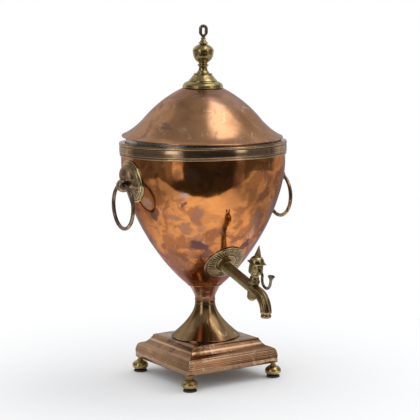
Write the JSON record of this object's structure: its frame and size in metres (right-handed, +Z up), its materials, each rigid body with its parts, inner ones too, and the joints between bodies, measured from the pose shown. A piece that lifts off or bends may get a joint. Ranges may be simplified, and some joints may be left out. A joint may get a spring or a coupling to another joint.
{
  "type": "tea urn",
  "caption": "Vase-shaped copper and brass tea urn on a square footed plinth, with lift-off domed lid, ring handles, plug tap and an iron heater in an inner tube.",
  "frame": {"origin": "on the table top, on the upright axis of the bowl, at the middle of the square of feet", "axes": "+Z up along the bowl's axis; -Y towards the tap; the ring handles stand on the -X and +X sides"},
  "size_m": [0.2706, 0.3043, 0.5002],
  "materials": {
    "bowl_copper": "polished copper with brown and purple tarnish",
    "lid_copper": "satin copper with brown tarnish",
    "neck_copper": "dull red-brown copper",
    "plinth_copper": "dull brown copper, brighter on the hollow curves",
    "stem_brass": "brown brass, satin",
    "band_brass": "dark bronze-brown brass, satin",
    "foot_brass": "worn olive-gold brass",
    "finial_brass": "worn olive-gold brass",
    "handle_brass": "worn brass, dark in the hollows",
    "tap_brass": "worn brass, dark in the hollows",
    "lever_brass": "dark brown brass",
    "ring_metal": "dark brown-grey bronze",
    "old_brass": "dull brass",
    "inner_brass": "plain brass",
    "tinned_copper": "dull grey tinning",
    "wrought_iron": "dark iron",
    "heater_iron": "scaled black iron",
    "foot_pad": "matt black",
    "leather_washer": "dark leather"
  },
  "bodies": {
    "urn": {"plinth_shell": "plinth_copper", "corner_plates": "old_brass", "foot_front_left": "foot_brass", "foot_front_right": "foot_brass", "foot_rear_left": "foot_brass", "foot_rear_right": "foot_brass", "foot_pads": "foot_pad", "foot_nuts": "inner_brass", "stem": "stem_brass", "bowl_neck_ring": "neck_copper", "tie_rod": "wrought_iron", "tie_washer": "wrought_iron", "tie_nut": "wrought_iron", "base_boss": "inner_brass", "bowl_shell": "bowl_copper", "rim_band": "band_brass", "heater_sleeve": "tinned_copper", "handle_plate_left": "handle_brass", "handle_plate_right": "handle_brass", "handle_mask_left": "handle_brass", "handle_mask_right": "handle_brass", "handle_studs": "wrought_iron", "handle_washers": "tinned_copper", "handle_nuts": "tinned_copper", "tap_rosette": "tap_brass", "tap_body": "tap_brass", "tap_gasket": "leather_washer", "tap_nut": "inner_brass", "tap_strainer": "tinned_copper"},
    "lid": {"lid_shell": "lid_copper", "lid_bezel": "tinned_copper", "finial_cap": "finial_brass", "finial_spindle": "finial_brass", "finial_eye": "finial_brass", "finial_stud": "wrought_iron", "finial_washer": "wrought_iron", "finial_nut": "inner_brass"},
    "cover": {"sleeve_cover": "tinned_copper", "cover_knob": "inner_brass"},
    "iron": {"heater_iron": "heater_iron", "iron_eye": "wrought_iron"},
    "left_ring": {"handle_ring_left": "ring_metal"},
    "right_ring": {"handle_ring_right": "ring_metal"},
    "key": {"tap_plug": "inner_brass", "tap_key": "tap_brass", "key_spire": "tap_brass", "key_lever": "lever_brass", "key_button": "lever_brass", "plug_washer": "inner_brass", "plug_screw": "inner_brass"}
  },
  "joints": [
    {"name": "lid_lift", "type": "slide", "parent": "urn", "child": "lid", "axis": [0, 0, 1], "range_m": [0, 0.12]},
    {"name": "cover_lift", "type": "slide", "parent": "urn", "child": "cover", "axis": [0, 0, 1], "range_m": [0, 0.03]},
    {"name": "iron_lift", "type": "slide", "parent": "urn", "child": "iron", "axis": [0, 0, 1], "range_m": [0, 0.03]},
    {"name": "left_ring_swing", "type": "hinge", "parent": "urn", "child": "left_ring", "pos_m": [-0.12664, 0, 0.2838], "axis": [0, 1, 0], "range_deg": [-20, 95]},
    {"name": "right_ring_swing", "type": "hinge", "parent": "urn", "child": "right_ring", "pos_m": [0.12664, 0, 0.2838], "axis": [0, -1, 0], "range_deg": [-20, 95]},
    {"name": "tap_turn", "type": "hinge", "parent": "urn", "child": "key", "pos_m": [0, -0.13398, 0.14617], "axis": [0, -0.2672, 0.9636], "range_deg": [-90, 90]}
  ]
}
